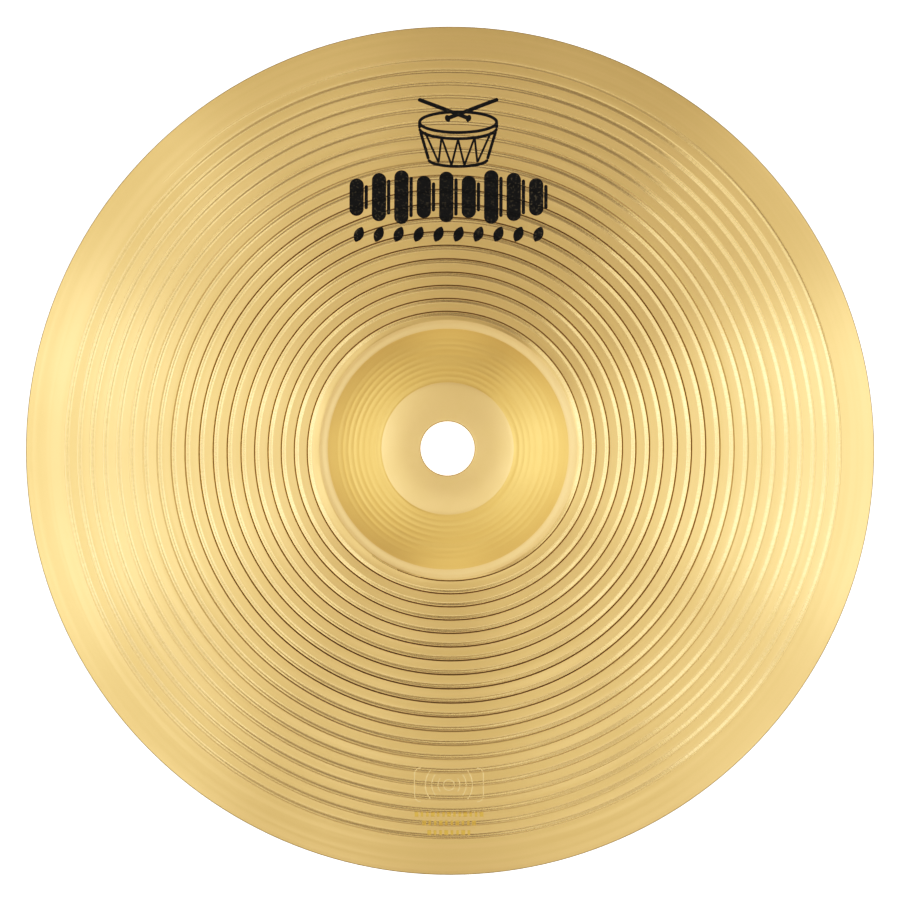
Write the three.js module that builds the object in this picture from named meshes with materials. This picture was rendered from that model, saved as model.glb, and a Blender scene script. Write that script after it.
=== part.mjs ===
// A small brass hand cymbal, lying on its rim with the bell up. It is one piece of sheet metal:
// a flat crown with a centre hole, a domed bell, a hollow fillet where the bell meets the bow,
// and a shallow bow with a tonal groove that winds outward as far as a plain band at the rim.
// Millimetres. +Z runs up the axis of the plate, and the rim rests on the plane z = 0.

import * as THREE from 'three';
import { ParametricGeometry } from 'three/addons/geometries/ParametricGeometry.js';
import { mergeVertices } from 'three/addons/utils/BufferGeometryUtils.js';

// ---- Driving dimensions of the plate -------------------------------------------------------

const rimDiameter = 203.2; // 8 in across the rim
const holeDiameter = 12.7; // 1/2 in hole for a strap or a stand's rod
const sheet = 0.9; // thickness of the metal
const crownHeight = 20.5; // from the rim plane to the top of the crown
const bowRise = 11.2; // from the rim plane to the bow's under face, carried on to the axis
const crownSeat = 2.65; // width of the flat ring around the hole
const bellRadius = 28.6; // section radius of the bell's upper face
const filletRadius = 7; // section radius of the hollow at the bell's foot, on the upper face
const rimLand = 0.5; // width of the flat ring that the rim rests on
const rimRound = 0.3; // rounding of the rim's two edges
const holeChamfer = 0.2; // on both edges of the hole

// ---- Driving dimensions of the tonal groove ------------------------------------------------

const grooveLead = 1.8; // in plan, from the bell's foot to the start of the groove
const plainBand = 7.9; // in plan, from the end of the groove to the rim
const groovePitch = 3.235; // mean distance in plan from one turn to the next
const grooveWidth = 1.4; // across the groove
const grooveDepth = 0.25; // from the bow's upper face to the groove's floor
const grooveFloorAt = 0.77; // place of the floor across the width: the outer wall is steeper
const feedEase = 0.05; // share by which the turns lie closer together at both ends
const runOut = 0.3; // turns over which the groove reaches its depth at each end
const grooveStartAngle = THREE.MathUtils.degToRad(-37.5); // where the groove starts

// ---- How finely the surfaces are divided ---------------------------------------------------

const segments = 48; // around the axis
const steps = { bell: 7, foot: 4, rimBand: 1, underBow: 6, underFillet: 3, underBell: 5 };

// ---- Section of the plate ------------------------------------------------------------------
// A section point is a Vector2 of radius and height. An arc's point at slope s lies where the
// arc's tangent falls away from the axis at that angle.

const rimRadius = rimDiameter / 2;
const holeRadius = holeDiameter / 2;
const seatRadius = holeRadius + crownSeat;
const restRadius = rimRadius - rimRound - rimLand; // inner edge of the flat at the rim

// The bow is part of a sphere centred on the axis: its under face meets the rim plane at the
// flat's inner edge, and its upper face lies one sheet outside it.
const underBowRadius = ( restRadius ** 2 + bowRise ** 2 ) / ( 2 * bowRise );
const bowRadius = underBowRadius + sheet;
const bowCentre = new THREE.Vector2( 0, bowRise - underBowRadius );

// The bell's arc leaves the crown's flat ring level.
const bellCentre = new THREE.Vector2( seatRadius, crownHeight - bellRadius );

/** The centre of the fillet's arc, which touches the bell's arc and the bow's arc outside. */
function touchBellAndBow() {

	const fromBell = bellRadius + filletRadius;
	const fromBow = bowRadius + filletRadius;
	const line = bellCentre.clone().sub( bowCentre );
	const apart = line.length();
	const along = ( fromBow ** 2 - fromBell ** 2 + apart ** 2 ) / ( 2 * apart );
	const aside = Math.sqrt( fromBow ** 2 - along ** 2 );
	line.normalize();
	const outward = new THREE.Vector2( line.y, - line.x );
	return bowCentre.clone().addScaledVector( line, along ).addScaledVector( outward, aside );

}

const filletCentre = touchBellAndBow();
const bellSlope = slopeFrom( bellCentre ); // where the bell's arc ends
const bowSlope = slopeFrom( bowCentre ); // where the bow's arc begins
const bellFoot = bellCentre.x + bellRadius * Math.sin( bellSlope );
const filletEnd = bowRadius * Math.sin( bowSlope );

/** The slope at which the fillet touches the arc with this centre. */
function slopeFrom( centre ) {

	return Math.atan2( filletCentre.x - centre.x, filletCentre.y - centre.y );

}

/** A point on a crowned arc, at a slope. */
function onArc( centre, radius, slope ) {

	return new THREE.Vector2( Math.sin( slope ), Math.cos( slope ) ).multiplyScalar( radius ).add( centre );

}

/** Height of the upper face at a radius outside the bell's foot. */
function upperFace( radius ) {

	if ( radius < filletEnd ) {

		return filletCentre.y - Math.sqrt( filletRadius ** 2 - ( radius - filletCentre.x ) ** 2 );

	}

	return bowCentre.y + Math.sqrt( bowRadius ** 2 - radius ** 2 );

}

/** Evenly spaced shares from 0 to 1, without the first. */
function shares( count ) {

	return Array.from( { length: count }, ( _, i ) => ( i + 1 ) / count );

}

// ---- The groove ----------------------------------------------------------------------------

const grooveStart = bellFoot + grooveLead;
const grooveEnd = rimRadius - plainBand;
const grooveTurns = ( grooveEnd - grooveStart ) / groovePitch;

/** Radius in plan after a number of turns: the feed is slower where the cut starts and ends. */
function grooveRadius( turn ) {

	const share = turn / grooveTurns;
	const lag = feedEase * Math.sin( 2 * Math.PI * share ) / ( 2 * Math.PI );
	return grooveStart + ( grooveEnd - grooveStart ) * ( share - lag );

}

/** Depth of the floor after a number of turns, running in and out smoothly. */
function floorDepth( turn ) {

	const runIn = THREE.MathUtils.smoothstep( turn, 0, runOut );
	const runAway = THREE.MathUtils.smoothstep( grooveTurns - turn, 0, runOut );
	return grooveDepth * runIn * runAway;

}

// ---- Rows of the surface -------------------------------------------------------------------
// The surface is a grid. Its rows run around the axis, and its columns follow the closed section
// from the hole over the upper face to the rim and back along the under face. A plain row is the
// same all the way round. A groove row climbs by one turn in each lap, so that its last point is
// the first point of the row one turn further out.

/** A row that stays at one point of the section. */
function plainRow( radius, height ) {

	return () => new THREE.Vector2( radius, height );

}

/** A row that winds outward, starting some turns into the groove, at the face or at the floor. */
function windingRow( startTurn, isFloor ) {

	return ( lap ) => {

		const turn = THREE.MathUtils.clamp( startTurn + lap, 0, grooveTurns );
		const radius = grooveRadius( turn );
		const depth = isFloor ? floorDepth( turn ) : 0;
		return new THREE.Vector2( radius, upperFace( radius ) - depth );

	};

}

/** Hole edge, crown and bell, and the upper part of the fillet, as far as the groove. */
function crownAndBellRows() {

	const rows = [
		plainRow( holeRadius, crownHeight - holeChamfer ),
		plainRow( holeRadius + holeChamfer, crownHeight ),
		plainRow( seatRadius, crownHeight ),
	];
	for ( const share of shares( steps.bell ) ) {

		const point = onArc( bellCentre, bellRadius, bellSlope * share );
		rows.push( plainRow( point.x, point.y ) );

	}

	for ( const share of shares( steps.foot ).slice( 0, - 1 ) ) {

		const radius = THREE.MathUtils.lerp( bellFoot, grooveStart, share );
		rows.push( plainRow( radius, upperFace( radius ) ) );

	}

	return rows;

}

/** The groove's inner edge, floor and outer edge for every turn, with the turns before and after
 * it closing on its two ends. */
function grooveRows() {

	const width = grooveWidth / groovePitch;
	const rows = [];
	for ( let turn = - 1; turn <= Math.ceil( grooveTurns ); turn ++ ) {

		rows.push( windingRow( turn, false ) );
		rows.push( windingRow( turn + width * grooveFloorAt, true ) );
		rows.push( windingRow( turn + width, false ) );

	}

	return rows;

}

/** The plain band, the rounded rim and the flat that it rests on. */
function rimRows() {

	const rows = [];
	const bandEnd = rimRadius - rimRound;
	for ( const share of shares( steps.rimBand ) ) {

		const radius = THREE.MathUtils.lerp( grooveEnd, bandEnd, share );
		rows.push( plainRow( radius, upperFace( radius ) ) );

	}

	const corner = rimRound * Math.SQRT1_2;
	const upper = upperFace( bandEnd ) - rimRound;
	rows.push( plainRow( bandEnd + corner, upper + corner ) );
	rows.push( plainRow( rimRadius, upper ) );
	rows.push( plainRow( rimRadius, rimRound ) );
	rows.push( plainRow( bandEnd + corner, rimRound - corner ) );
	rows.push( plainRow( bandEnd, 0 ) );
	rows.push( plainRow( restRadius, 0 ) );
	return rows;

}

/** The under face from the rim back to the hole, one sheet inside the upper face. */
function underRows() {

	const rows = [];
	const restSlope = Math.asin( restRadius / underBowRadius );
	for ( const share of shares( steps.underBow ) ) {

		const slope = THREE.MathUtils.lerp( restSlope, bowSlope, share );
		const point = onArc( bowCentre, underBowRadius, slope );
		rows.push( plainRow( point.x, point.y ) );

	}

	for ( const share of shares( steps.underFillet ) ) {

		const slope = THREE.MathUtils.lerp( bowSlope, bellSlope, share );
		const point = onArc( filletCentre, - ( filletRadius + sheet ), slope );
		rows.push( plainRow( point.x, point.y ) );

	}

	for ( const share of shares( steps.underBell ) ) {

		const point = onArc( bellCentre, bellRadius - sheet, bellSlope * ( 1 - share ) );
		rows.push( plainRow( point.x, point.y ) );

	}

	rows.push( plainRow( holeRadius + holeChamfer, crownHeight - sheet ) );
	rows.push( plainRow( holeRadius, crownHeight - sheet + holeChamfer ) );
	return rows;

}

// ---- The solid -----------------------------------------------------------------------------

const weldDistance = 1e-4;

/** The closed surface through the rows: shared points are welded and flat corners dropped. */
function solidThrough( rows ) {

	const place = ( u, v, target ) => {

		const point = rows[ Math.round( u * rows.length ) % rows.length ]( v );
		const angle = grooveStartAngle + 2 * Math.PI * ( v % 1 );
		target.set( point.x * Math.cos( angle ), point.x * Math.sin( angle ), point.y );

	};

	const grid = new ParametricGeometry( place, rows.length, segments );
	grid.deleteAttribute( 'normal' );
	grid.deleteAttribute( 'uv' );
	const welded = mergeVertices( grid, weldDistance );
	const corners = welded.getIndex().array;
	const kept = [];
	for ( let i = 0; i < corners.length; i += 3 ) {

		const [ a, b, c ] = corners.slice( i, i + 3 );
		if ( a !== b && b !== c && c !== a ) kept.push( a, b, c );

	}

	welded.setIndex( kept );
	welded.computeVertexNormals();
	return welded;

}

const brass = new THREE.MeshStandardMaterial( { color: 0xd8bc74, roughness: 0.32, metalness: 1 } );

const cymbal = new THREE.Mesh(
	solidThrough( [ ...crownAndBellRows(), ...grooveRows(), ...rimRows(), ...underRows() ] ),
	brass,
);
cymbal.name = 'cymbal';

const group = new THREE.Group();
group.add( cymbal );

export default group;
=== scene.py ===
"""Looks of a small brass hand cymbal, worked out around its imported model.

The plate lies on its rim with the bell up. Lengths are in metres, +Z runs up the plate's axis and the
printed emblem lies towards +Y. The plate's surface is one closed grid that follows its section from
the hole over the upper face to the rim and back along the under face. The print and the etched mark
are thin films laid on the upper face.
"""

import logging
import math
from dataclasses import dataclass, field
from enum import Enum, IntEnum
from functools import cached_property

import bpy
import numpy as np
from mathutils import Matrix, Vector


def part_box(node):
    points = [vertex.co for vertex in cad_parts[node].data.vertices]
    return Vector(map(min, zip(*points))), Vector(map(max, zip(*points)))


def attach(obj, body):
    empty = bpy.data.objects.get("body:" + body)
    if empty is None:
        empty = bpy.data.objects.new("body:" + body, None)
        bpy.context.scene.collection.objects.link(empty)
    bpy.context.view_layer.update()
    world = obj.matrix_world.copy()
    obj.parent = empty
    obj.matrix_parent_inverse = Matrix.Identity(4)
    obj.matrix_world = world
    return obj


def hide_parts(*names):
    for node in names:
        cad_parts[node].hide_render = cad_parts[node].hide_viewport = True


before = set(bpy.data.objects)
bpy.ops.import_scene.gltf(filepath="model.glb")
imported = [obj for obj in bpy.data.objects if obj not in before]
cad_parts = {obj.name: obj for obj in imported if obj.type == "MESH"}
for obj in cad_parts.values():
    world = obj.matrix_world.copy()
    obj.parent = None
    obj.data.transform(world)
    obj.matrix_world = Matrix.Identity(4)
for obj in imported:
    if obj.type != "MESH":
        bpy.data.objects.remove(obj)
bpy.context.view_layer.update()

MM = 0.001
BODY = "root"
PLATE_NODE = "cymbal"
FULL_TURN = 2 * math.pi
GROOVE_LEAD = 2.1 * MM
PLAIN_BAND = 7.6 * MM

Array = np.ndarray
Colour = tuple[float, float, float]
Point = tuple[float, float]
Socket = bpy.types.NodeSocket
Value = float | tuple | Socket

log = logging.getLogger("hand_cymbal")


# ---- Shape of the plate ---------------------------------------------------------------------------


def smooth_ramp(share: Array) -> Array:
    """Rise from 0 to 1 with level ends: 3 s squared minus 2 s cubed, held outside 0 to 1."""
    held = np.clip(share, 0.0, 1.0)
    return held * held * (3.0 - 2.0 * held)


@dataclass(frozen=True)
class PlateSection:
    """Section of the plate through its axis.

    The upper face is a level ring around the hole, a crowned arc (the bell), a hollow arc (the
    fillet) and a shallow crowned arc centred on the axis (the bow). Each arc touches the next, and
    the under face lies one sheet inside them.
    """

    rim_radius: float
    crown_height: float
    hole_radius: float = 6.35 * MM
    sheet: float = 0.9 * MM
    bow_rise: float = 11.2 * MM
    seat_width: float = 2.65 * MM
    bell_arc: float = 28.6 * MM
    fillet_arc: float = 7.0 * MM
    rim_land: float = 0.5 * MM
    rim_round: float = 0.3 * MM
    hole_round: float = 0.2 * MM

    @cached_property
    def seat_radius(self) -> float:
        """Outer edge of the level ring around the hole."""
        return self.hole_radius + self.seat_width

    @cached_property
    def rest_radius(self) -> float:
        """Inner edge of the flat that the rim rests on."""
        return self.rim_radius - self.rim_round - self.rim_land

    @cached_property
    def under_bow_arc(self) -> float:
        """Radius of the bow's under face, which meets the rim plane at the flat's inner edge."""
        return (self.rest_radius**2 + self.bow_rise**2) / (2 * self.bow_rise)

    @cached_property
    def bow_centre(self) -> Array:
        """Centre of the bow's arcs, on the axis."""
        return np.array([0.0, self.bow_rise - self.under_bow_arc])

    @cached_property
    def bow_arc(self) -> float:
        """Radius of the bow's upper face."""
        return self.under_bow_arc + self.sheet

    @cached_property
    def bell_centre(self) -> Array:
        """Centre of the bell's arcs."""
        return np.array([self.seat_radius, self.crown_height - self.bell_arc])

    @cached_property
    def fillet_centre(self) -> Array:
        """Centre of the fillet's arcs: where circles around the bell's and bow's centres cross.

        Returns:
            Its radius and height.
        """
        from_bell = self.bell_arc + self.fillet_arc
        from_bow = self.bow_arc + self.fillet_arc
        line = self.bell_centre - self.bow_centre
        apart = float(np.hypot(*line))
        along = (from_bow**2 - from_bell**2 + apart**2) / (2 * apart)
        aside = math.sqrt(from_bow**2 - along**2)
        line = line / apart
        return self.bow_centre + line * along + np.array([line[1], -line[0]]) * aside

    @cached_property
    def bell_slope(self) -> float:
        """Slope where the bell's arc meets the fillet."""
        return math.atan2(*(self.fillet_centre - self.bell_centre))

    @cached_property
    def bow_slope(self) -> float:
        """Slope where the fillet meets the bow's arc."""
        return math.atan2(*(self.fillet_centre - self.bow_centre))

    @cached_property
    def bell_foot(self) -> float:
        """Radius where the bell's upper face ends."""
        return float(self.bell_centre[0] + self.bell_arc * math.sin(self.bell_slope))

    @cached_property
    def fillet_end(self) -> float:
        """Radius where the fillet's upper face ends."""
        return self.bow_arc * math.sin(self.bow_slope)

    def upper_face(self, radius: Array) -> Array:
        """Height of the plain upper face.

        Each stretch is the arc centre's height plus or minus the root of the arc's radius squared
        less the distance from the arc's centre squared.

        Args:
            radius: Distances from the axis.

        Returns:
            Heights above the rim plane.
        """
        r = np.asarray(radius, float)
        bell = self.bell_centre[1] + self._chord(self.bell_arc, r - self.bell_centre[0])
        fillet = self.fillet_centre[1] - self._chord(self.fillet_arc, r - self.fillet_centre[0])
        bow = self.bow_centre[1] + self._chord(self.bow_arc, r)
        zones = [r < self.seat_radius, r < self.bell_foot, r < self.fillet_end]
        return np.select(zones, [np.full_like(r, self.crown_height), bell, fillet], bow)

    def under_face(self, radius: Array) -> Array:
        """Height of the under face: the same arcs, one sheet further in.

        Args:
            radius: Distances from the axis.

        Returns:
            Heights above the rim plane.
        """
        r = np.asarray(radius, float)
        bell_arc = self.bell_arc - self.sheet
        fillet_arc = self.fillet_arc + self.sheet
        foot = self.bell_centre[0] + bell_arc * math.sin(self.bell_slope)
        end = self.under_bow_arc * math.sin(self.bow_slope)
        bell = self.bell_centre[1] + self._chord(bell_arc, r - self.bell_centre[0])
        fillet = self.fillet_centre[1] - self._chord(fillet_arc, r - self.fillet_centre[0])
        bow = self.bow_centre[1] + self._chord(self.under_bow_arc, r)
        level = np.full_like(r, self.crown_height - self.sheet)
        return np.select([r < self.seat_radius, r < foot, r < end], [level, bell, fillet], bow)

    @staticmethod
    def _chord(arc: float, offset: Array) -> Array:
        """Height over an arc's centre at a sideways offset, 0 beyond the arc."""
        return np.sqrt(np.maximum(arc * arc - offset * offset, 0.0))


@dataclass(frozen=True)
class TonalGroove:
    """The groove that winds outward over the bow, one turn for each lap around the axis.

    Its floor lies near its outer edge, so that its inner side slopes gently and its outer wall is
    steep. It is deepest in its middle turns.
    """

    start_radius: float
    end_radius: float
    pitch: float = 3.235 * MM
    width: float = 1.26 * MM
    depth: float = 0.31 * MM
    floor_share: float = 0.75
    easing: float = 0.6
    end_depth: float = 0.62
    hump_power: float = 0.75
    feed_ease: float = 0.05
    run_out: float = 0.3
    # Fullness past which the groove gets its rolled finish and its wall's painted shade.
    finish_and_shade_from: float = 0.3
    start_angle: float = math.radians(-37.5)

    @cached_property
    def turns(self) -> float:
        """How many laps the groove makes."""
        return (self.end_radius - self.start_radius) / self.pitch

    @property
    def width_in_turns(self) -> float:
        """The groove's width as a share of the way from one turn to the next."""
        return self.width / self.pitch

    def radius_at(self, turn: Array) -> Array:
        """Radius after a number of turns: even feed less a sine that slows it at both ends.

        Args:
            turn: Turns since the groove's start.

        Returns:
            Radii of the groove's inner edge.
        """
        share = np.clip(turn, 0.0, self.turns) / self.turns
        lag = self.feed_ease * np.sin(FULL_TURN * share) / FULL_TURN
        return self.start_radius + (self.end_radius - self.start_radius) * (share - lag)

    def turn_at(self, radius: Array) -> Array:
        """The number of turns at which the groove reaches a radius."""
        turns = np.linspace(0.0, self.turns, 2001)
        return np.interp(radius, self.radius_at(turns), turns)

    def profile(self, across: Array) -> Array:
        """Share of the full depth across the groove.

        Args:
            across: Place across the groove's width, from 0 at its inner edge to 1 at its outer.

        Returns:
            An even ramp less a sine, which eases its ends, down to the floor, and a smooth one up.
        """
        down = np.clip(across / self.floor_share, 0.0, 1.0)
        inner = down - self.easing * np.sin(FULL_TURN * down) / FULL_TURN
        outer = smooth_ramp((1.0 - across) / (1.0 - self.floor_share))
        return np.where(across < self.floor_share, inner, outer)

    def fullness(self, turn: Array) -> Array:
        """Share of the depth reached after a number of turns: smooth ramps over both end turns."""
        return smooth_ramp(turn / self.run_out) * smooth_ramp((self.turns - turn) / self.run_out)

    def depth_at(self, turn: Array) -> Array:
        """Full depth after a number of turns: shallow ends and a sine hump nearer the start.

        Args:
            turn: Turns since the groove's start.

        Returns:
            Depths of the floor, before the run-in and the run-out.
        """
        share = np.clip(turn / self.turns, 0.0, 1.0)
        hump = (1.0 - self.end_depth) * np.sin(math.pi * share**self.hump_power)
        return self.depth * (self.end_depth + hump)

    def sink(self, turn: Array, across: Array) -> Array:
        """Depth below the plain face.

        Args:
            turn: Turns since the groove's start.
            across: Place across the groove's width, from 0 at its inner edge to 1 at its outer.

        Returns:
            The depth: the profile times a smooth run-in and run-out over the end turns.
        """
        inside = (across > 0.0) & (across < 1.0)
        return np.where(inside, self.depth_at(turn) * self.fullness(turn) * self.profile(across), 0.0)

    def sink_under(self, x: Array, y: Array) -> Array:
        """Depth of the groove under points in plan, from the turn at their radius less their lap.

        Args:
            x: Places along X.
            y: Places along Y.

        Returns:
            Depths below the plain face.
        """
        turn = self.turn_at(np.hypot(x, y))
        lap = np.mod(np.arctan2(y, x) - self.start_angle, FULL_TURN) / FULL_TURN
        across = np.mod(turn - lap, 1.0) / self.width_in_turns
        return self.sink(turn, across)


@dataclass(frozen=True)
class BellTurning:
    """What the turning tool leaves: scallops on the bell outside the crown, a ring at its foot."""

    crown_edge: float = 15.6 * MM
    step: float = 0.06 * MM
    step_width: float = 0.24 * MM
    pitch: float = 1.32 * MM
    depth: float = 0.1 * MM
    fading_pitches: float = 3.5
    ring_height: float = 0.25 * MM
    ring_width: float = 2.6 * MM

    def ring(self, radius: Array, bell_foot: float) -> Array:
        """Height of the low ring left at the bell's foot: half of one less a cosine."""
        share = np.clip((radius - bell_foot) / self.ring_width, 0.0, 1.0)
        return self.ring_height * (0.5 - 0.5 * np.cos(FULL_TURN * share))

    def sink(self, radius: Array, bell_foot: float) -> Array:
        """Depth of metal turned off the bell.

        Args:
            radius: Distances from the axis.
            bell_foot: Radius where the bell ends.

        Returns:
            A smooth step down outside the crown, plus scallops (the size of a sine) that fade
            out towards the foot.
        """
        past = radius - self.crown_edge
        scallop = np.abs(np.sin(math.pi * past / self.pitch))
        fade = smooth_ramp((bell_foot - radius) / self.pitch)
        worn = smooth_ramp((bell_foot - radius) / (self.fading_pitches * self.pitch))
        turned = smooth_ramp(past / self.step_width)
        return turned * (self.step * fade + self.depth * scallop * worn)


# ---- Meshes ---------------------------------------------------------------------------------------


def closed_mesh(name: str, points: Array, quads: Array, finish: Array) -> bpy.types.Mesh:
    """Make a mesh from a grid whose coinciding points are welded.

    Points that round to the same place become one, each quad is cut into two triangles, and the
    triangles that have lost a corner are left out.

    Args:
        name: Name of the mesh.
        points: Points, one in each row.
        quads: Indices of each quad's corners, anticlockwise seen from outside.
        finish: Material index of each quad.

    Returns:
        The mesh, shaded smooth.
    """
    weld = 1e-8
    _, kept, place = np.unique(np.round(points / weld), axis=0, return_index=True, return_inverse=True)
    corners = place.reshape(-1)[quads]
    triangles = np.concatenate([corners[:, [0, 1, 2]], corners[:, [0, 2, 3]]])
    indices = np.concatenate([finish, finish])
    a, b, c = triangles.T
    whole = (a != b) & (b != c) & (c != a)
    triangles, indices = triangles[whole], indices[whole]
    mesh = bpy.data.meshes.new(name)
    mesh.vertices.add(len(kept))
    mesh.vertices.foreach_set("co", points[kept].astype(np.float32).ravel())
    mesh.loops.add(triangles.size)
    mesh.loops.foreach_set("vertex_index", triangles.astype(np.int32).ravel())
    mesh.polygons.add(len(triangles))
    mesh.polygons.foreach_set("loop_start", np.arange(0, triangles.size, 3, dtype=np.int32))
    mesh.polygons.foreach_set("material_index", indices.astype(np.int32))
    mesh.polygons.foreach_set("use_smooth", np.ones(len(triangles), bool))
    mesh.update(calc_edges=True)
    mesh.validate()
    return mesh


def new_piece(mesh: bpy.types.Mesh) -> bpy.types.Object:
    """Put a mesh into the scene as a piece that rides on the plate's body.

    Args:
        mesh: The finished mesh, in place.

    Returns:
        The piece.
    """
    piece = bpy.data.objects.new(mesh.name, mesh)
    bpy.context.scene.collection.objects.link(piece)
    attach(piece, BODY)
    log.info("%s: %d faces, on body %s", piece.name, len(mesh.polygons), BODY)
    return piece


# ---- Shader building ------------------------------------------------------------------------------


class Wiring:
    """Adds nodes to a tree and joins them, so that a finish reads from top to bottom."""

    def __init__(self, tree: bpy.types.NodeTree) -> None:
        """Keep the tree that nodes are added to."""
        self.tree = tree

    def node(
        self, kind: str, inputs: dict[str | int, Value] | None = None, **settings: object
    ) -> bpy.types.Node:
        """Add a node.

        Args:
            kind: The node's type.
            inputs: Values for its sockets, by name or place. A socket given as a value is linked.
            settings: Properties of the node itself.

        Returns:
            The new node.
        """
        made = self.tree.nodes.new(kind)
        for key, value in settings.items():
            setattr(made, key, value)
        for key, value in (inputs or {}).items():
            if isinstance(value, Socket):
                self.tree.links.new(value, made.inputs[key])
            else:
                made.inputs[key].default_value = value
        return made

    def group(self, tree: bpy.types.NodeTree, values: dict[str, Value]) -> bpy.types.Node:
        """Place a node group with its values."""
        return self.node("ShaderNodeGroup", values, node_tree=tree)

    def math(self, operation: str, first: Value, second: Value = 0.0) -> Socket:
        """Return the result of a sum on two numbers."""
        return self.node("ShaderNodeMath", {0: first, 1: second}, operation=operation).outputs[0]

    def vector(self, operation: str, first: Value, second: Value = (0, 0, 0)) -> Socket:
        """Return the vector result of a sum on two vectors."""
        made = self.node("ShaderNodeVectorMath", {0: first, 1: second}, operation=operation)
        return made.outputs["Vector"]

    def scaled(self, vector: Value, factor: Value) -> Socket:
        """Return a vector times a number."""
        return self.node("ShaderNodeVectorMath", {0: vector, "Scale": factor}, operation="SCALE").outputs[0]

    def ramp(self, value: Value, low: float, high: float, bottom: float = 0.0, top: float = 1.0) -> Socket:
        """Return a value spread smoothly from one range to another, and held at its ends.

        Args:
            value: The value.
            low: Where the first range starts.
            high: Where the first range ends.
            bottom: The result at low and below.
            top: The result at high and above.

        Returns:
            The spread value.
        """
        sockets = {"Value": value, "From Min": low, "From Max": high, "To Min": bottom, "To Max": top}
        made = self.node("ShaderNodeMapRange", sockets, interpolation_type="SMOOTHSTEP", clamp=True)
        return made.outputs["Result"]

    def mix(self, factor: Value, first: Value, second: Value, blend: str = "MIX") -> Socket:
        """Blend two colours.

        Args:
            factor: Share of the second colour.
            first: The first colour.
            second: The second colour.
            blend: How they are blended.

        Returns:
            The blend.
        """
        made = self.node("ShaderNodeMix", data_type="RGBA", blend_type=blend)
        colours = [s for s in made.inputs if s.type == "RGBA"]
        for socket, value in zip([made.inputs["Factor"], *colours], [factor, first, second]):
            if isinstance(value, Socket):
                self.tree.links.new(value, socket)
            else:
                socket.default_value = value if isinstance(value, float) else (*value, 1.0)
        return next(s for s in made.outputs if s.type == "RGBA")

    def noise(self, vector: Value, scale: float, detail: float, roughness: float = 0.5) -> Socket:
        """Return a noise value around 0.5 at a place."""
        sockets = {"Vector": vector, "Scale": scale, "Detail": detail, "Roughness": roughness}
        return self.node("ShaderNodeTexNoise", sockets, noise_dimensions="3D").outputs[0]


def new_group(
    name: str, inputs: dict[str, str], outputs: dict[str, str]
) -> tuple[bpy.types.NodeTree, Wiring, dict[str, Socket], bpy.types.Node]:
    """Start a shader node group.

    Args:
        name: Name of the group.
        inputs: Kind of each input socket, by name.
        outputs: Kind of each output socket, by name.

    Returns:
        The group, its wiring, its input sockets by name and its output node.
    """
    tree = bpy.data.node_groups.new(name, "ShaderNodeTree")
    for socket, kind in inputs.items():
        tree.interface.new_socket(name=socket, in_out="INPUT", socket_type=kind)
    for socket, kind in outputs.items():
        tree.interface.new_socket(name=socket, in_out="OUTPUT", socket_type=kind)
    wires = Wiring(tree)
    source = wires.node("NodeGroupInput")
    return tree, wires, {s.name: s for s in source.outputs if s.name}, wires.node("NodeGroupOutput")


FLOAT = "NodeSocketFloat"
VECTOR = "NodeSocketVector"


def polar(wires: Wiring, position: Value) -> tuple[Socket, Socket]:
    """Split a position into its distance from the axis and its heading around it.

    Args:
        wires: Wiring of the tree.
        position: Place on the piece.

    Returns:
        The radius, and the level unit vector that points away from the axis.
    """
    level = wires.vector("MULTIPLY", position, (1, 1, 0))
    radius = wires.node("ShaderNodeVectorMath", {0: level}, operation="LENGTH").outputs["Value"]
    return radius, wires.vector("NORMALIZE", level)


class SurfaceEffects:
    """Shader node groups for the marks that several finishes share, each made once."""

    soft_band: Point = (0.3, 0.7)
    tick_band: Point = (0.38, 0.62)
    broad_share: float = 0.23

    @cached_property
    def turning_lines(self) -> bpy.types.NodeTree:
        """Fine rings left by a turning tool: noise along the radius that drifts slowly around it.

        Returns:
            The group: a height of the fine rings and a tone of the broad ones.
        """
        inputs = {"Position": VECTOR, "Lines per Metre": FLOAT, "Drift": FLOAT}
        tree, wires, given, out = new_group("turning_lines", inputs, {"Height": FLOAT, "Tone": FLOAT})
        radius, heading = polar(wires, given["Position"])
        across = wires.math("MULTIPLY", radius, given["Lines per Metre"])
        upright = wires.node("ShaderNodeCombineXYZ", {"Z": across}).outputs[0]
        place = wires.vector("ADD", upright, wires.scaled(heading, given["Drift"]))
        fine = wires.noise(place, 1.0, 3.0, 0.6)
        broad = wires.noise(place, self.broad_share, 2.0)
        wires.tree.links.new(fine, out.inputs["Height"])
        wires.tree.links.new(wires.ramp(broad, *self.soft_band), out.inputs["Tone"])
        return tree

    @cached_property
    def chatter(self) -> bpy.types.NodeTree:
        """Radial ticks left by a chattering roller: noise along the heading, long across it.

        Returns:
            The group: a mask of the ticks.
        """
        inputs = {"Position": VECTOR, "Ticks per Radian": FLOAT, "Ticks per Metre": FLOAT}
        tree, wires, given, out = new_group("chatter", inputs, {"Mask": FLOAT})
        radius, heading = polar(wires, given["Position"])
        across = wires.math("MULTIPLY", radius, given["Ticks per Metre"])
        upright = wires.node("ShaderNodeCombineXYZ", {"Z": across}).outputs[0]
        place = wires.vector("ADD", upright, wires.scaled(heading, given["Ticks per Radian"]))
        value = wires.noise(place, 1.0, 1.0)
        wires.tree.links.new(wires.ramp(value, *self.tick_band), out.inputs["Mask"])
        return tree

    @cached_property
    def bloom(self) -> bpy.types.NodeTree:
        """Soft cloudy patches of handling and air: slow noise in space.

        Returns:
            The group: a mask of the patches.
        """
        inputs = {"Position": VECTOR, "Patches per Metre": FLOAT}
        tree, wires, given, out = new_group("bloom", inputs, {"Mask": FLOAT})
        place = wires.scaled(given["Position"], given["Patches per Metre"])
        value = wires.noise(place, 1.0, 4.0, 0.55)
        wires.tree.links.new(wires.ramp(value, *self.soft_band), out.inputs["Mask"])
        return tree


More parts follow.
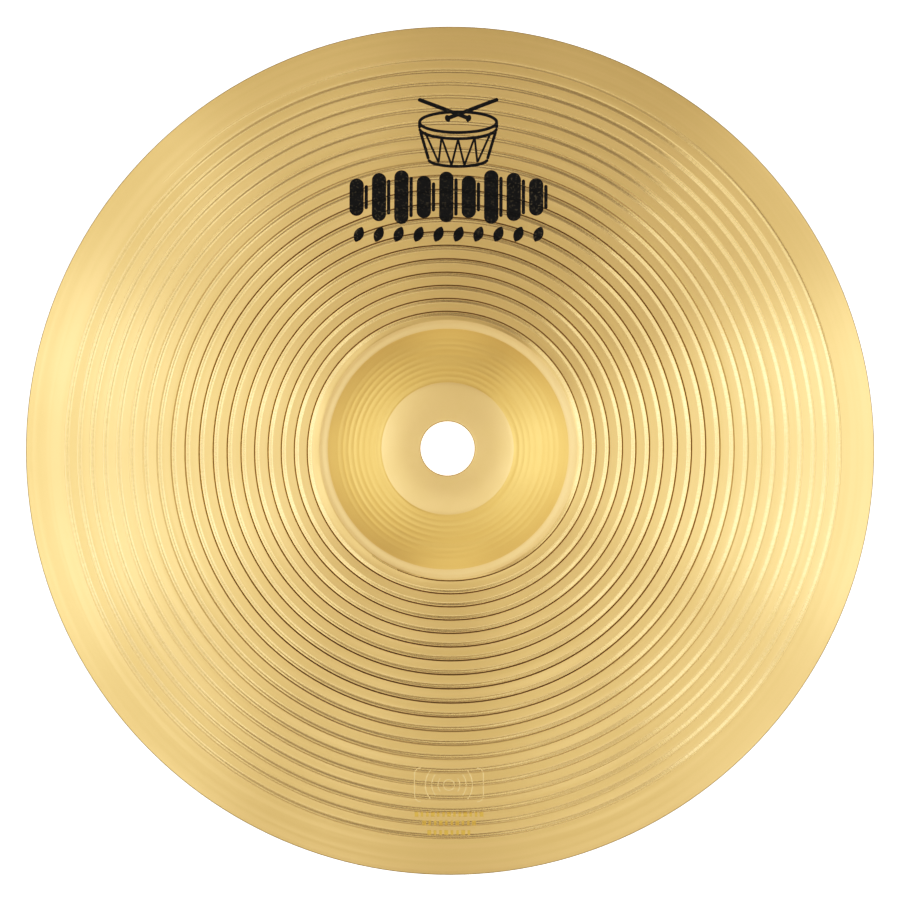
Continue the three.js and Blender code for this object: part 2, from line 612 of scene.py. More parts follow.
EFFECTS = SurfaceEffects()


def new_material(name: str) -> tuple[bpy.types.Material, Wiring, bpy.types.Node, Socket]:
    """Start a material.

    Args:
        name: Name of the material.

    Returns:
        The material, its wiring, its Principled shader and the position on the piece.
    """
    material = bpy.data.materials.new(name)
    material.use_nodes = True
    wires = Wiring(material.node_tree)
    shader = material.node_tree.nodes["Principled BSDF"]
    return material, wires, shader, wires.node("ShaderNodeTexCoord").outputs["Object"]


@dataclass(frozen=True)
class ToolLines:
    """Fine rings left by a tool: how close, how they wander around, how deep and how dark."""

    per_metre: float
    drift: float
    bump: float
    tone: float


@dataclass(frozen=True)
class ChatterTicks:
    """Short radial ticks: how close both ways, how deep and how dark."""

    per_radian: float
    per_metre: float
    bump: float
    tone: float


@dataclass(frozen=True)
class BrassFinish:
    """Bare brass with the marks of how one zone of the plate was worked; some zones' colours carry painted
    shade and one a painted highlight.

    Where unshaded_colour is set, it takes over from the zone's colour between two radii, towards the rim:
    this fades the groove wall's painted shade out to plain brass.
    """

    name: str
    colour: Colour
    shade: Colour
    roughness: float
    anisotropy: float
    lines: ToolLines
    ticks: ChatterTicks | None = None
    # Colour that the painted shade gives way to between two radii, towards the rim.
    unshaded_colour: Colour | None = None
    unshaded_from: float = 58 * MM
    unshaded_to: float = 82 * MM
    haze: float = 0.18
    haze_per_metre: float = 28.0
    shade_roughness: float = 0.12

    def _marks(self, wires: Wiring, position: Socket) -> tuple[Socket, Socket]:
        """Add up the tool's lines, the ticks and the soft haze.

        Args:
            wires: Wiring of the material.
            position: Place on the piece.

        Returns:
            How far the colour goes towards the shade, and the height of the marks.
        """
        haze = {"Position": position, "Patches per Metre": self.haze_per_metre}
        bloom = wires.group(EFFECTS.bloom, haze).outputs["Mask"]
        rings = {"Position": position, "Lines per Metre": self.lines.per_metre, "Drift": self.lines.drift}
        lines = wires.group(EFFECTS.turning_lines, rings)
        tone = wires.math("MULTIPLY", lines.outputs["Tone"], self.lines.tone)
        shade = wires.math("ADD", tone, wires.math("MULTIPLY", bloom, self.haze))
        height = wires.math("MULTIPLY", lines.outputs["Height"], self.lines.bump)
        if self.ticks:
            close = {"Ticks per Radian": self.ticks.per_radian, "Ticks per Metre": self.ticks.per_metre}
            mask = wires.group(EFFECTS.chatter, {"Position": position, **close}).outputs["Mask"]
            shade = wires.math("ADD", shade, wires.math("MULTIPLY", mask, self.ticks.tone))
            height = wires.math("ADD", height, wires.math("MULTIPLY", mask, self.ticks.bump))
        return shade, height

    def material(self) -> bpy.types.Material:
        """Make the material.

        Colour and roughness vary with the marks. The glint is stretched away from the axis, across
        the turning lines.

        Returns:
            The material.
        """
        material, wires, shader, position = new_material(self.name)
        links = material.node_tree.links
        shade, height = self._marks(wires, position)
        colour = wires.mix(shade, self.colour, self.shade)
        radius, outward = polar(wires, position)
        # Towards the rim the groove wall's painted shade fades to plain brass colour.
        if self.unshaded_colour:
            colour = wires.mix(wires.ramp(radius, self.unshaded_from, self.unshaded_to), colour, self.unshaded_colour)
        links.new(colour, shader.inputs["Base Color"])
        rough = wires.ramp(shade, 0.0, 1.0, self.roughness, self.roughness + self.shade_roughness)
        links.new(rough, shader.inputs["Roughness"])
        bump = wires.node("ShaderNodeBump", {"Height": height, "Distance": 1.0, "Strength": 1.0})
        links.new(bump.outputs["Normal"], shader.inputs["Normal"])
        links.new(outward, shader.inputs["Tangent"])
        shader.inputs["Metallic"].default_value = 1.0
        shader.inputs["Anisotropic"].default_value = self.anisotropy
        return material


class Zone(IntEnum):
    """How a stretch of the plate was worked; WALL and EDGE also carry painted shade, HOLLOW a painted
    highlight. Each value is the place of a material slot.
    """

    TURNED = 0
    BELL = 1
    CROWN = 2
    HOLLOW = 3
    ROLLED = 4
    WALL = 5
    EDGE = 6


TURNED_LINES = ToolLines(per_metre=3200.0, drift=2.0, bump=0.0034 * MM, tone=0.45)
BELL_LINES = ToolLines(per_metre=3200.0, drift=2.0, bump=0.0022 * MM, tone=0.35)
SATIN_LINES = ToolLines(per_metre=900.0, drift=9.0, bump=0.004 * MM, tone=0.25)
ROLLED_LINES = ToolLines(per_metre=2400.0, drift=5.0, bump=0.0015 * MM, tone=0.2)
SCRAPED_LINES = ToolLines(per_metre=2400.0, drift=5.0, bump=0.0015 * MM, tone=0.3)
ROLLER_TICKS = ChatterTicks(per_radian=400.0, per_metre=420.0, bump=0.0027 * MM, tone=0.35)

BRASS: dict[Zone, BrassFinish] = {
    Zone.TURNED: BrassFinish(
        name="turned_brass",
        colour=(0.91, 0.595, 0.235),
        shade=(0.83, 0.55, 0.20),
        roughness=0.29,
        anisotropy=0.8,
        lines=TURNED_LINES,
    ),
    Zone.BELL: BrassFinish(
        name="bell_brass",
        colour=(0.89, 0.57, 0.18),
        shade=(0.82, 0.51, 0.145),
        roughness=0.44,
        anisotropy=0.45,
        lines=BELL_LINES,
    ),
    Zone.CROWN: BrassFinish(
        name="crown_brass",
        colour=(0.92, 0.61, 0.25),
        shade=(0.83, 0.56, 0.21),
        roughness=0.4,
        anisotropy=0.2,
        lines=SATIN_LINES,
    ),
    # The hollow's paler colour is a painted highlight that brightens the band at the bell's foot.
    Zone.HOLLOW: BrassFinish(
        name="hollow_brass_painted_highlight",
        colour=(0.98, 0.71, 0.33),
        shade=(0.94, 0.66, 0.29),
        roughness=0.6,
        anisotropy=0.0,
        lines=SATIN_LINES,
    ),
    Zone.ROLLED: BrassFinish(
        name="rolled_brass",
        colour=(0.92, 0.63, 0.275),
        shade=(0.78, 0.52, 0.19),
        roughness=0.16,
        anisotropy=0.4,
        lines=ROLLED_LINES,
        ticks=ROLLER_TICKS,
    ),
    # The groove wall's near-black colour is painted shade: the dark line along the steep wall, faded to
    # plain brass towards the rim.
    Zone.WALL: BrassFinish(
        name="groove_wall_painted_shade",
        colour=(0.19, 0.11, 0.03),
        shade=(0.13, 0.07, 0.02),
        roughness=0.26,
        anisotropy=0.3,
        lines=SCRAPED_LINES,
        unshaded_colour=(0.90, 0.60, 0.24),
    ),
    # The rounded edges' dark colour is painted shade: a dark outline around the hole and the rim.
    Zone.EDGE: BrassFinish(
        name="edge_painted_shade",
        colour=(0.34, 0.24, 0.11),
        shade=(0.24, 0.16, 0.07),
        roughness=0.5,
        anisotropy=0.3,
        lines=SCRAPED_LINES,
    ),
}


# ---- The plate ------------------------------------------------------------------------------------


@dataclass(frozen=True)
class Band:
    """Rows of the grid over one stretch of the section.

    The first axis is the share of a lap, the second the place on the section. finish says how each
    quad, from one lap share and place to the next ones, was worked.
    """

    radius: Array
    height: Array
    finish: Array


@dataclass
class CymbalPlate:
    """The spun plate, as one closed surface that carries its turned and rolled detail."""

    section: PlateSection
    groove: TonalGroove
    turning: BellTurning = field(default_factory=BellTurning)
    segments: int = 200
    groove_shares: tuple[float, ...] = (0.0, 0.06, 0.2, 0.37, 0.55, 0.69, 0.75, 0.82, 0.92, 1.0)
    land_shares: tuple[float, ...] = (0.04, 0.5, 0.96)
    rounding_rows: int = 5
    crown_rows: int = 12
    step_rows: int = 4
    bell_rows: int = 86
    hollow_rows: int = 15
    plain_rows: int = 7
    rim_rows: int = 6
    under_bow_rows: int = 56
    under_bell_rows: int = 28
    under_pitch: float = 5.2 * MM
    under_depth: float = 0.012 * MM

    @cached_property
    def laps(self) -> Array:
        """Share of a lap at each column of the grid, the last column closing on the first."""
        return np.linspace(0.0, 1.0, self.segments + 1)

    def face_height(self, x: Array, y: Array) -> Array:
        """Height of the worked upper face over points in plan."""
        radius = np.hypot(x, y)
        return self._worked_height(radius) - self.groove.sink_under(x, y)

    def _worked_height(self, radius: Array) -> Array:
        """Height of the upper face, less what was turned off the bell, plus the ring at its foot.

        Args:
            radius: Distances from the axis.

        Returns:
            Heights above the rim plane.
        """
        foot = self.section.bell_foot
        turned = self.section.upper_face(radius) - self.turning.sink(radius, foot)
        return turned + self.turning.ring(radius, foot)

    def _plain_band(self, radius: Array, height: Array, zone: Zone) -> Band:
        """Make a band that is the same all the way round.

        Args:
            radius: Distance of each row from the axis.
            height: Height of each row.
            zone: How the band was worked.

        Returns:
            The band.
        """
        shape = (len(self.laps), len(radius))
        finish = np.full((self.segments, len(radius)), int(zone))
        return Band(np.broadcast_to(radius, shape), np.broadcast_to(height, shape), finish)

    def _arc_points(self, centre: Point, size: float, start: float, end: float, count: int) -> Array:
        """Points of a small rounding: centre plus size times the sine and cosine of the slope."""
        slope = np.linspace(start, end, count)
        return np.array([centre[0] + size * np.sin(slope), centre[1] + size * np.cos(slope)])

    def crown_band(self) -> Band:
        """The hole's rounded upper edge and the untouched crown.

        Returns:
            The band.
        """
        s = self.section
        centre = (s.hole_radius + s.hole_round, s.crown_height - s.hole_round)
        edge = self._arc_points(centre, s.hole_round, -math.pi / 2, 0.0, self.rounding_rows)
        ring = np.linspace(s.hole_radius + s.hole_round, self.turning.crown_edge, self.crown_rows)[1:-1]
        radius = np.concatenate([edge[0], ring])
        height = np.concatenate([edge[1], self._worked_height(ring)])
        band = self._plain_band(radius, height, Zone.CROWN)
        # The hole's rounded edge takes the finish darkened with painted shade.
        band.finish[:, : edge.shape[1] - 1] = int(Zone.EDGE)
        return band

    def bell_band(self) -> Band:
        """The turned side of the bell.

        Returns:
            The band.
        """
        s, t = self.section, self.turning
        step = t.crown_edge + t.step_width * np.linspace(0.0, 1.0, self.step_rows)
        side = np.linspace(t.crown_edge + t.step_width, s.bell_foot, self.bell_rows)[1:]
        radius = np.concatenate([step, side])
        return self._plain_band(radius[:-1], self._worked_height(radius[:-1]), Zone.BELL)

    def fillet_band(self) -> Band:
        """The smooth hollow at the bell's foot, as far as the groove."""
        radius = np.linspace(self.section.bell_foot, self.groove.start_radius, self.hollow_rows)[:-1]
        # The hollow's paler colour is a painted highlight.
        return self._plain_band(radius, self._worked_height(radius), Zone.HOLLOW)

    def groove_band(self) -> Band:
        """The bow with its groove: rows climb by one turn in each lap.

        Returns:
            The band, plain where the groove is still shallow at its two ends.
        """
        g = self.groove
        pitch = 1.0 / g.width_in_turns
        lands = 1.0 + (pitch - 1.0) * np.array(self.land_shares)
        across = np.concatenate([self.groove_shares, lands])
        first = np.arange(-1, math.ceil(g.turns) + 1)
        start = (first[:, None] + across * g.width_in_turns).ravel()
        turn = np.clip(start + self.laps[:, None], 0.0, g.turns)
        radius = g.radius_at(turn)
        sink = g.sink(turn, np.tile(across, len(first)))
        # The steep outer wall takes the finish darkened with painted shade; the gentle inner side is
        # rolled.
        inside = np.where(across < g.floor_share, int(Zone.ROLLED), int(Zone.WALL))
        groove = np.where(across < 1.0, inside, int(Zone.TURNED))
        finish = np.where(g.fullness(turn) > g.finish_and_shade_from, np.tile(groove, len(first)), int(Zone.TURNED))
        return Band(radius, self._worked_height(radius) - sink, finish[:-1])

    def rim_band(self) -> Band:
        """The plain band, the rounded rim and the flat that it rests on.

        Returns:
            The band.
        """
        s = self.section
        flat_end = s.rim_radius - s.rim_round
        plain = np.linspace(self.groove.end_radius, flat_end, self.plain_rows)[1:-1]
        top = float(s.upper_face(np.array([flat_end]))[0])
        fall = math.asin(flat_end / s.bow_arc)
        side, under = math.pi / 2, math.pi
        upper = self._arc_points((flat_end, top - s.rim_round), s.rim_round, fall, side, self.rim_rows)
        lower = self._arc_points((flat_end, s.rim_round), s.rim_round, side, under, self.rim_rows)
        radius = np.concatenate([plain, upper[0], lower[0], [s.rest_radius]])
        height = np.concatenate([s.upper_face(plain), upper[1], lower[1], [0.0]])
        band = self._plain_band(radius, height, Zone.TURNED)
        # The rounded rim and the flat it rests on take the finish darkened with painted shade.
        band.finish[:, len(plain) :] = int(Zone.EDGE)
        return band

    def under_band(self) -> Band:
        """The under face back to the hole, with shallow turning ripples on the bow.

        Returns:
            The band. The ripples are half of one less a cosine, and fade out towards the rim.
        """
        s = self.section
        bow = np.linspace(s.rest_radius, s.fillet_end, self.under_bow_rows)[1:]
        bell = np.linspace(s.fillet_end, s.hole_radius + s.hole_round, self.under_bell_rows)[1:]
        ripple = 0.5 - 0.5 * np.cos(FULL_TURN * (bow - s.fillet_end) / self.under_pitch)
        fade = smooth_ramp((s.rest_radius - bow) / self.under_pitch)
        bow_height = s.under_face(bow) + self.under_depth * ripple * fade
        centre = (s.hole_radius + s.hole_round, s.crown_height - s.sheet + s.hole_round)
        edge = self._arc_points(centre, s.hole_round, -math.pi, -math.pi / 2, self.rounding_rows)[:, 1:]
        radius = np.concatenate([bow, bell, edge[0]])
        height = np.concatenate([bow_height, s.under_face(bell), edge[1]])
        return self._plain_band(radius, height, Zone.TURNED)

    def mesh(self) -> bpy.types.Mesh:
        """Lay the bands side by side around the section and close the grid both ways.

        A point lies at its row's radius and height, turned by its column's share of a lap.

        Returns:
            The plate's mesh.
        """
        inner = [self.crown_band(), self.bell_band(), self.fillet_band()]
        bands = [*inner, self.groove_band(), self.rim_band(), self.under_band()]
        radius = np.hstack([b.radius for b in bands])
        height = np.hstack([b.height for b in bands])
        finish = np.hstack([b.finish for b in bands])
        angle = self.groove.start_angle + FULL_TURN * np.mod(self.laps, 1.0)[:, None]
        points = np.stack([radius * np.cos(angle), radius * np.sin(angle), height], axis=-1)
        laps, rows = radius.shape
        lap, row = np.meshgrid(np.arange(laps - 1), np.arange(rows), indexing="ij")
        here = lap * rows + row
        outward = lap * rows + (row + 1) % rows
        quads = np.stack([here, outward, outward + rows, here + rows], axis=-1).reshape(-1, 4)
        return closed_mesh("cymbal_plate", points.reshape(-1, 3), quads, finish.ravel())

    def build(self) -> bpy.types.Object:
        """Make the plate, dress it zone by zone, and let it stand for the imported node.

        Returns:
            The piece.
        """
        mesh = self.mesh()
        for zone in Zone:
            mesh.materials.append(BRASS[zone].material())
        piece = new_piece(mesh)
        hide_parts(PLATE_NODE)
        return piece


# ---- Print and mark -------------------------------------------------------------------------------


@dataclass(frozen=True)
class InkFinish:
    """Screen-printed ink: dark and matt, with a few specks where it has worn thin."""

    name: str = "black_ink"
    colour: Colour = (0.004, 0.0035, 0.003)
    worn: Colour = (0.07, 0.055, 0.03)
    roughness: float = 0.7
    specks_per_metre: float = 1900.0
    speck_band: Point = (0.56, 0.72)
    patches_per_metre: float = 55.0
    specular: float = 0.12

    def material(self) -> bpy.types.Material:
        """Make the material: worn specks appear where slow and fast noise are both high.

        Returns:
            The material.
        """
        material, wires, shader, position = new_material(self.name)
        links = material.node_tree.links
        specks = wires.ramp(wires.noise(position, self.specks_per_metre, 1.0), *self.speck_band)
        patches = {"Position": position, "Patches per Metre": self.patches_per_metre}
        bloom = wires.group(EFFECTS.bloom, patches)
        worn = wires.math("MULTIPLY", specks, bloom.outputs["Mask"])
        links.new(wires.mix(worn, self.colour, self.worn), shader.inputs["Base Color"])
        shader.inputs["Roughness"].default_value = self.roughness
        shader.inputs["Specular IOR Level"].default_value = self.specular
        return material


@dataclass(frozen=True)
class EtchedFinish:
    """Brass that has been etched matt."""

    name: str
    colour: Colour
    roughness: float = 0.55
    grains_per_metre: float = 9000.0
    grain_depth: float = 0.004 * MM

    def material(self) -> bpy.types.Material:
        """Make the material, with a fine frosted grain.

        Returns:
            The material.
        """
        material, wires, shader, position = new_material(self.name)
        links = material.node_tree.links
        grain = wires.noise(position, self.grains_per_metre, 1.0)
        height = wires.math("MULTIPLY", grain, self.grain_depth)
        bump = wires.node("ShaderNodeBump", {"Height": height, "Distance": 1.0, "Strength": 1.0})
        links.new(bump.outputs["Normal"], shader.inputs["Normal"])
        shader.inputs["Base Color"].default_value = (*self.colour, 1.0)
        shader.inputs["Roughness"].default_value = self.roughness
        shader.inputs["Metallic"].default_value = 1.0
        return material


END_SAMPLES = 7
LEAF_FULLNESS = 0.7


class Cap(Enum):
    """How the two ends of a stroke are shaped."""

    ROUND = "round"
    SQUARE = "square"
    LEAF = "leaf"
    JOINED = "joined"


@dataclass(frozen=True)
class Stroke:
    """A line drawn on the plate, in plan: its middle line, its width and its ends."""

    path: Array
    width: float
    cap: Cap = Cap.ROUND

    def sampled(self, cell: float) -> tuple[Array, Array, Array]:
        """Sample the stroke along its middle line.

        Half the width is even along the line, and falls to nothing at round ends as the root of
        one less the square of the distance, or along a leaf as a power of the sine of the share of
        its length.

        Args:
            cell: Distance from one sample to the next.

        Returns:
            Points of the middle line, level unit vectors across it, and half widths.
        """
        steps = np.hypot(*np.diff(self.path, axis=0).T)
        length = np.concatenate([[0.0], np.cumsum(steps)])
        total = length[-1]
        along = np.linspace(0.0, total, max(8, math.ceil(total / cell)) + 1)
        half = self.width / 2
        if self.cap is Cap.ROUND:
            ends = half * (1.0 - np.cos(np.linspace(0.0, math.pi / 2, END_SAMPLES)))
            along = np.unique(np.concatenate([along, ends, total - ends]))
        points = np.stack([np.interp(along, length, self.path[:, k]) for k in (0, 1)], axis=1)
        across = self._across(points)
        halves = np.full(len(along), half)
        if self.cap is Cap.ROUND:
            short = np.clip(1.0 - np.minimum(along, total - along) / half, 0.0, 1.0)
            halves = half * np.sqrt(1.0 - short**2)
        if self.cap is Cap.LEAF:
            halves = half * np.sin(math.pi * along / total) ** LEAF_FULLNESS
        if self.cap is Cap.SQUARE:
            points = np.concatenate([points[:1], points, points[-1:]])
            across = np.concatenate([across[:1], across, across[-1:]])
            halves = np.concatenate([[0.0], halves, [0.0]])
        return points, across, halves

    def _across(self, points: Array) -> Array:
        """Find the way across the middle line from the points on both sides of each.

        Args:
            points: Points of the middle line.

        Returns:
            Level unit vectors.
        """
        if self.cap is Cap.JOINED:
            ring = points[:-1]
            run = np.roll(ring, -1, axis=0) - np.roll(ring, 1, axis=0)
            run = np.concatenate([run, run[:1]])
        else:
            run = np.gradient(points, axis=0)
        run = run / np.maximum(np.hypot(*run.T), 1e-12)[:, None]
        return np.stack([run[:, 1], -run[:, 0]], axis=1)


def line_path(*points: Point) -> Array:
    """A path through points given in millimetres."""
    return np.array(points, float) * MM


def arc_path(centre: Point, radii: Point, start: float = 0.0, end: float = 360.0) -> Array:
    """Path along an ellipse: centre plus the radii times the cosine and sine of the heading.

    Args:
        centre: Centre in millimetres.
        radii: Half width and half height in millimetres.
        start: First heading in degrees.
        end: Last heading in degrees.

    Returns:
        The path, in metres.
    """
    heading = np.radians(np.linspace(start, end, 97))
    return (np.array(centre) + np.array(radii) * np.stack([np.cos(heading), np.sin(heading)], 1)) * MM


@dataclass
class Film:
    """Strokes laid on the upper face as a thin closed film that follows its relief."""

    name: str
    slot: str
    plate: CymbalPlate
    material: bpy.types.Material
    lift: float
    cell: float
    bury: float = 0.3 * MM
    stroke_step: float = 0.0004 * MM
    edge_fall: float = 0.7
    edge_power: int = 6

    def _grid(self, stroke: Stroke, lift: float) -> tuple[Array, Array]:
        """Sweep a closed section along a stroke.

        The section's upper side follows the worked face at the film's height, falling off at its
        edges with a power of the distance from the middle. Its lower side is a straight line inside
        the metal.

        Args:
            stroke: The stroke.
            lift: Height of its middle over the face.

        Returns:
            Points, and the quads that join them.
        """
        middle, across, halves = stroke.sampled(self.cell)
        count = max(4, math.ceil(stroke.width / self.cell))
        share = np.linspace(-1.0, 1.0, count + 1)
        offset = halves[:, None] * share
        x = middle[:, :1] + across[:, :1] * offset
        y = middle[:, 1:] + across[:, 1:] * offset
        top = self.plate.face_height(x, y) + lift * (1.0 - self.edge_fall * share**self.edge_power)
        edge = [-1, 0]
        low = self.plate.section.upper_face(np.hypot(x[:, edge], y[:, edge])) - self.bury - lift
        across_x, across_y = np.hstack([x, x[:, edge]]), np.hstack([y, y[:, edge]])
        points = np.stack([across_x, across_y, np.hstack([top, low])], axis=-1)
        rings, rows = points.shape[:2]
        ring, row = np.meshgrid(np.arange(rings - 1), np.arange(rows), indexing="ij")
        here = ring * rows + row
        beside = ring * rows + (row + 1) % rows
        quads = np.stack([here, beside, beside + rows, here + rows], axis=-1)
        return points.reshape(-1, 3), quads.reshape(-1, 4)

    def build(self, strokes: list[Stroke]) -> bpy.types.Object:
        """Lay the strokes, each a hair over the one before, and join them into one piece.

        Args:
            strokes: The strokes.

        Returns:
            The piece.
        """
        lifts = [self.lift + self.stroke_step * place for place in range(len(strokes))]
        grids = [self._grid(stroke, lift) for stroke, lift in zip(strokes, lifts)]
        starts = np.cumsum([0] + [len(points) for points, _ in grids[:-1]])
        points = np.concatenate([points for points, _ in grids])
        quads = np.concatenate([quads + start for start, (_, quads) in zip(starts, grids)])
        mesh = closed_mesh(self.name, points, quads, np.zeros(len(quads)))
        mesh.materials.append(self.material)
        return new_piece(mesh)


@dataclass
class PrintedEmblem:
    """The black print near the rim: a hand drum with two sticks over a row of sound bars.

    Places and sizes of the drawing are in millimetres.
    """

    plate: CymbalPlate
    ink: InkFinish = field(default_factory=InkFinish)
    lift: float = 0.05 * MM
    cell: float = 0.13 * MM
    bar_heights: tuple[float, ...] = (9.0, 11.6, 12.9, 10.2, 12.2, 10.2, 12.9, 11.6, 9.0)
    bar_pitch: float = 5.35
    bar_middle: float = 60.15
    bar_width: float = 3.4
    bar_shift: float = -0.55
    companion_width: float = 0.8
    companion_shift: float = 1.75
    companion_inset: float = 1.6
    seed_count: int = 10
    seed_row: float = 51.2
    seed_pitch: float = 4.75
    seed_reach: Point = (0.8, 1.8)
    seed_width: float = 2.3
    drum_centre: Point = (2.2, 78.2)
    head_radii: Point = (9.2, 2.5)
    hoop_depth: float = 1.5
    shell_top: Point = (9.0, 2.2)
    foot_radii: Point = (7.0, 1.7)
    foot_depth: float = 9.0
    lacing_points: int = 9
    line_width: float = 0.72
    lacing_width: float = 0.5
    stick_width: float = 0.95
    bead_width: float = 1.9

    def _bars(self) -> list[Stroke]:
        """Bars of sound, each with a narrow line beside it.

        Returns:
            The strokes.
        """
        strokes = []
        for place, height in enumerate(self.bar_heights):
            middle = (place - (len(self.bar_heights) - 1) / 2) * self.bar_pitch
            low, high = self.bar_middle - height / 2, self.bar_middle + height / 2
            x = middle + self.bar_shift
            strokes.append(Stroke(line_path((x, low), (x, high)), self.bar_width * MM))
            x, inset = middle + self.companion_shift, self.companion_inset
            companion = line_path((x, low + inset), (x, high - inset))
            strokes.append(Stroke(companion, self.companion_width * MM))
        return strokes

    def _seeds(self) -> list[Stroke]:
        """A row of small leaning seeds under the bars.

        Returns:
            The strokes.
        """
        strokes = []
        aside, above = self.seed_reach
        for place in range(self.seed_count):
            x = (place - (self.seed_count - 1) / 2) * self.seed_pitch
            low, high = (x - aside, self.seed_row - above), (x + aside, self.seed_row + above)
            strokes.append(Stroke(line_path(low, high), self.seed_width * MM, Cap.LEAF))
        return strokes

    def _drum(self) -> list[Stroke]:
        """A hand drum seen from in front: head, hoop, shell and foot.

        Returns:
            The strokes.
        """
        x, y = self.drum_centre
        line = self.line_width * MM
        half, hoop, foot = self.head_radii[0], y - self.hoop_depth, y - self.foot_depth
        strokes = [
            Stroke(arc_path((x, y), self.head_radii), line, Cap.JOINED),
            Stroke(arc_path((x, hoop), self.head_radii, 180, 360), line),
        ]
        for side in (-1, 1):
            strokes.append(Stroke(line_path((x + half * side, y), (x + half * side, hoop)), line))
        for side in (-1, 1):
            top = (x + self.shell_top[0] * side, y - self.shell_top[1])
            strokes.append(Stroke(line_path(top, (x + self.foot_radii[0] * side, foot)), line))
        strokes.append(Stroke(arc_path((x, foot), self.foot_radii, 180, 360), line))
        return strokes

    def _lacing(self) -> list[Stroke]:
        """The cord that laces the drum: straight runs to and fro between two curves.

        Each curve is a level line less a half sine, like the drum's hoop and its foot.

        Returns:
            The strokes.
        """
        x, y = self.drum_centre
        top, foot = self.shell_top[0], self.foot_radii[0]
        turns = np.linspace(0.06, 0.94, self.lacing_points)
        sag = np.sin(math.pi * turns)
        upper = np.stack([x - top + 2 * top * turns, y - 1.9 - 2.3 * sag], 1)
        lower = np.stack([x - foot + 2 * foot * turns, y - self.foot_depth - 1.5 * sag], 1)
        strokes = []
        for place in range(len(turns) - 1):
            first, second = (upper, lower) if place % 2 == 0 else (lower, upper)
            strokes.append(Stroke(line_path(first[place], second[place + 1]), self.lacing_width * MM))
        return strokes

    def _sticks(self) -> list[Stroke]:
        """Two sticks that cross over the drum's head, each with a round tip.

        Returns:
            The strokes.
        """
        x, y = self.drum_centre
        strokes = []
        for side in (-1, 1):
            tip, grip = (x + 2.6 * side, y + 0.9), (x - 9.6 * side, y + 5.6)
            strokes.append(Stroke(line_path(tip, grip), self.stick_width * MM))
            bead = line_path((tip[0] + 0.5 * side, tip[1] - 0.2), (tip[0] - 0.7 * side, tip[1] + 0.26))
            strokes.append(Stroke(bead, self.bead_width * MM))
        return strokes

    def build(self) -> None:
        """Print the emblem, one film for the bars and one for the drawing."""
        material = self.ink.material()
        bars = Film("printed_bars", "print_ink", self.plate, material, self.lift, self.cell)
        bars.build(self._bars() + self._seeds())
        drawing = Film("printed_drum", "print_ink", self.plate, material, self.lift, self.cell)
        drawing.build(self._drum() + self._lacing() + self._sticks())


@dataclass
class EtchedMark:
    """The pale mark opposite the print: thin rings in a frame over three rows of small dashes.

    Places and sizes of the drawing are in millimetres. Each row of dashes is a place, half its
    length and the number of dashes, and every third dash is a long one.
    """

    plate: CymbalPlate
    line_finish: EtchedFinish = EtchedFinish("etched_lines", (0.93, 0.70, 0.34))
    dash_finish: EtchedFinish = EtchedFinish("etched_dashes", (0.72, 0.46, 0.10))
    lift: float = 0.025 * MM
    cell: float = 0.09 * MM
    line_width: float = 0.2
    centre: Point = (0.0, -79.85)
    ring_radius: float = 1.3
    reaches: tuple[float, ...] = (2.6, 4.1, 5.6)
    spread: float = 38
    frame_half: float = 8.2
    corner: float = 1.5
    frame_ends: Point = (-77.3, -82.4)
    rows: tuple[tuple[float, float, int], ...] = ((-86.9, 8.4, 13), (-89.0, 6.6, 10), (-91.3, 5.4, 8))
    dash_width: float = 1.15
    short_dash: float = 0.22
    long_dash: float = 0.34

    def _frame(self) -> list[Stroke]:
        """Two brackets around a small ring with three arcs of sound on each side.

        Returns:
            The strokes.
        """
        line = self.line_width * MM
        upper, lower = self.frame_ends
        strokes = [Stroke(arc_path(self.centre, (self.ring_radius, self.ring_radius)), line, Cap.JOINED)]
        for side in (-1, 1):
            x = (self.frame_half - self.corner) * side
            radii = (self.corner * side, self.corner)
            bracket = [arc_path((x, upper), radii, 90, 0), arc_path((x, lower), radii, 0, -90)]
            strokes.append(Stroke(np.concatenate(bracket), line))
            for reach in self.reaches:
                wave = arc_path(self.centre, (reach * side, reach), -self.spread, self.spread)
                strokes.append(Stroke(wave, line))
        return strokes

    def _dashes(self) -> list[Stroke]:
        """Three rows of short dashes, each shorter than the one above.

        Returns:
            The strokes.
        """
        strokes = []
        for y, half, count in self.rows:
            pitch = 2 * half / count
            for place in range(count):
                x = -half + pitch * (place + 0.5)
                reach = pitch * (self.short_dash if place % 3 else self.long_dash)
                dash = line_path((x - reach, y), (x + reach, y))
                strokes.append(Stroke(dash, self.dash_width * MM, Cap.SQUARE))
        return strokes

    def build(self) -> None:
        """Lay the mark's lines and dashes."""
        kinds = ((self.line_finish, self._frame()), (self.dash_finish, self._dashes()))
        for finish, strokes in kinds:
            film = Film(finish.name, "brass", self.plate, finish.material(), self.lift, self.cell)
            film.build(strokes)


# ---- Studio ---------------------------------------------------------------------------------------


def direction(azimuth: float, elevation: float) -> Vector:
    """Unit vector towards an azimuth and an elevation.

    Args:
        azimuth: Angle around +Z from +X, in radians.
        elevation: Angle over the floor, in radians.

    Returns:
        The vector.
    """
    level = math.cos(elevation)
    return Vector((level * math.cos(azimuth), level * math.sin(azimuth), math.sin(elevation)))


@dataclass(frozen=True)
class Softbox:
    """A large soft light that faces the plate."""

    name: str
    azimuth: float
    elevation: float
    power: float
    size: float = 0.8
    distance: float = 1.5

    def build(self, target: Vector) -> bpy.types.Object:
        """Hang the light.

        Args:
            target: The point that it faces.

        Returns:
            The light.
        """
        lamp = bpy.data.lights.new(self.name, "AREA")
        lamp.shape = "DISK"
        lamp.size = self.size
        lamp.energy = self.power
        light = bpy.data.objects.new(self.name, lamp)
        bpy.context.scene.collection.objects.link(light)
        away = direction(math.radians(self.azimuth), math.radians(self.elevation))
        light.location = target + away * self.distance
        light.rotation_euler = away.to_track_quat("Z", "Y").to_euler()
        light.visible_camera = False
        return light


